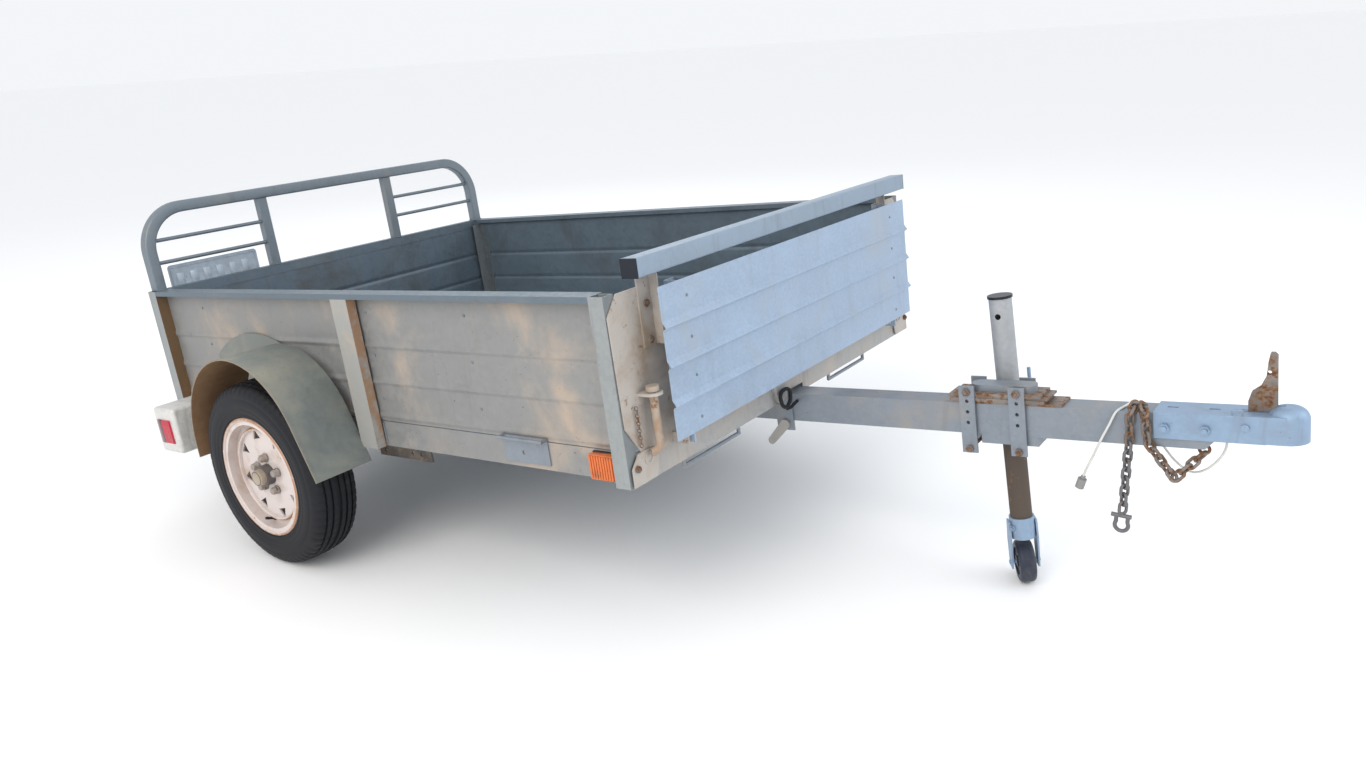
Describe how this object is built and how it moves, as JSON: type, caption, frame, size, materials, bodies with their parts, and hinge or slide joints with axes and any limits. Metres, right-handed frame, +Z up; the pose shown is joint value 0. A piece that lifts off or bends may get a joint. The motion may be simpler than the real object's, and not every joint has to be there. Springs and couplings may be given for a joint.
{
  "type": "single axle box trailer",
  "caption": "Galvanised single axle box trailer with a dropping front gate, a hoop at the back, a tilting tray, a ball coupling and a castor leg clamped to the drawbar.",
  "frame": {"origin": "on the floor, midway along the trailer's length and on its centre plane", "axes": "+X forward along the drawbar to the coupling, +Y to the trailer's left, +Z up; the trailer stands on both wheels and its castor, 5 degrees nose up"},
  "size_m": [3.5809, 2, 1.0872],
  "materials": {
    "galvanised_sheet": "dull zinc spangle, dusty",
    "galvanised_section": "dull zinc",
    "gate_sheet": "pale blue satin",
    "painted_plate": "worn cream paint",
    "stanchion_steel": "zinc with rust runs",
    "rusty_steel": "rusty",
    "dark_chain": "weathered",
    "coupling_zinc": "pale zinc",
    "running_gear": "black, worn",
    "rubber_strap": "matt",
    "tyre_rubber": "matt",
    "rim_paint": "satin white with rust edges",
    "hub_casting": "matt grey",
    "lamp_shell": "satin",
    "red_lens": "gloss",
    "amber_lens": "gloss",
    "plate_blank": "satin",
    "cable_sheath": "satin",
    "plug_shell": "satin",
    "cap_plastic": "satin",
    "leg_pipe": "zinc above, rust below",
    "castor_tread": "dark blue, satin"
  },
  "bodies": {
    "drawbar": {"drawbar_beam": "galvanised_section", "latch_bracket": "galvanised_section", "latch_rubber": "rubber_strap", "packing_plates": "rusty_steel", "clamp_plates": "galvanised_section", "clamp_straps": "galvanised_section", "clamp_saddle": "galvanised_section", "clamp_bolts": "rusty_steel", "coupling_body": "coupling_zinc", "coupling_fixings": "coupling_zinc", "safety_chain": "rusty_steel", "cable": "cable_sheath", "plug": "plug_shell"},
    "clamp_handle": {"clamp_handle": "coupling_zinc"},
    "coupling_lever": {"coupling_lever": "rusty_steel"},
    "latch_lever": {"latch_lever": "galvanised_section"},
    "chain_drop": {"chain_drop": "dark_chain"},
    "castor_leg": {"leg_tube": "leg_pipe", "leg_cap": "cap_plastic"},
    "castor_fork": {"castor_fork": "coupling_zinc"},
    "castor_wheel": {"castor_wheel": "castor_tread"},
    "tray": {"floor_sheet": "galvanised_sheet", "side_rails": "galvanised_section", "cross_members": "galvanised_section", "front_rail": "galvanised_section", "rear_rail": "galvanised_section", "side_panels": "galvanised_sheet", "top_rails": "galvanised_section", "stanchions": "stanchion_steel", "corner_posts": "galvanised_sheet", "corner_plates": "painted_plate", "header_rail": "galvanised_section", "header_caps": "cap_plastic", "header_brackets": "galvanised_section", "plate_bolts": "rusty_steel", "latch_ears": "painted_plate", "rear_panel": "galvanised_sheet", "rear_top_rail": "galvanised_section", "hoop": "galvanised_section", "hoop_bars": "galvanised_section", "number_plate": "plate_blank", "mudguards": "galvanised_sheet", "lamp_boxes": "lamp_shell", "red_lenses": "red_lens", "marker_lamps": "amber_lens", "rope_rails": "galvanised_section", "latch_tongue": "galvanised_section", "axle_beam": "running_gear", "leaf_springs": "running_gear"},
    "gate": {"front_gate": "gate_sheet", "gate_frame": "gate_sheet"},
    "latch_rod_right": {"latch_rod_right": "painted_plate"},
    "latch_rod_left": {"latch_rod_left": "painted_plate"},
    "wheel_right": {"tyre_right": "tyre_rubber", "rim_right": "rim_paint", "hub_right": "hub_casting"},
    "wheel_left": {"tyre_left": "tyre_rubber", "rim_left": "rim_paint", "hub_left": "hub_casting"}
  },
  "joints": [
    {"name": "tray_tilt", "type": "hinge", "parent": "drawbar", "child": "tray", "pos_m": [-0.84905, 0, 0.31894], "axis": [0, -1, 0], "range_deg": [0, 20]},
    {"name": "gate_drop", "type": "hinge", "parent": "tray", "child": "gate", "pos_m": [0.48295, 0, 0.56991], "axis": [0, 1, 0], "range_deg": [0, 90]},
    {"name": "latch_turn_right", "type": "hinge", "parent": "tray", "child": "latch_rod_right", "pos_m": [0.4659, -0.714, 0.719], "axis": [-0.0872, 0, 0.9962], "range_deg": [0, 90]},
    {"name": "latch_turn_left", "type": "hinge", "parent": "tray", "child": "latch_rod_left", "pos_m": [0.4659, 0.714, 0.719], "axis": [-0.0872, 0, 0.9962], "range_deg": [-90, 0]},
    {"name": "wheel_spin_right", "type": "hinge", "parent": "tray", "child": "wheel_right", "pos_m": [-0.92715, -0.912, 0.303], "axis": [0, 1, 0], "continuous": true},
    {"name": "wheel_spin_left", "type": "hinge", "parent": "tray", "child": "wheel_left", "pos_m": [-0.92715, 0.912, 0.303], "axis": [0, 1, 0], "continuous": true},
    {"name": "latch_lever_turn", "type": "hinge", "parent": "drawbar", "child": "latch_lever", "pos_m": [0.43912, -0.048, 0.40557], "axis": [0, 1, 0], "range_deg": [-30, 60]},
    {"name": "clamp_screw_turn", "type": "hinge", "parent": "drawbar", "child": "clamp_handle", "pos_m": [1.11791, 0.12384, 0.58263], "axis": [0.7001, 0.7071, 0.0996], "range_deg": [0, 180]},
    {"name": "coupling_lever_lift", "type": "hinge", "parent": "drawbar", "child": "coupling_lever", "pos_m": [1.69738, 0, 0.67504], "axis": [0, -1, 0], "range_deg": [0, 70]},
    {"name": "chain_swing", "type": "hinge", "parent": "drawbar", "child": "chain_drop", "pos_m": [1.41976, -0.054, 0.52689], "axis": [0.703, 0.7071, 0.0764], "range_deg": [-50, 3]},
    {"name": "leg_slide", "type": "slide", "parent": "drawbar", "child": "castor_leg", "axis": [-0.1409, 0, 0.99], "range_m": [-0.1, 0.24]},
    {"name": "fork_swivel", "type": "hinge", "parent": "castor_leg", "child": "castor_fork", "pos_m": [1.13454, 0.08, 0.1547], "axis": [-0.1409, 0, 0.99], "continuous": true},
    {"name": "castor_spin", "type": "hinge", "parent": "castor_fork", "child": "castor_wheel", "pos_m": [1.14002, 0.09299, 0.06297], "axis": [0.8574, 0.5, 0.122], "continuous": true}
  ]
}
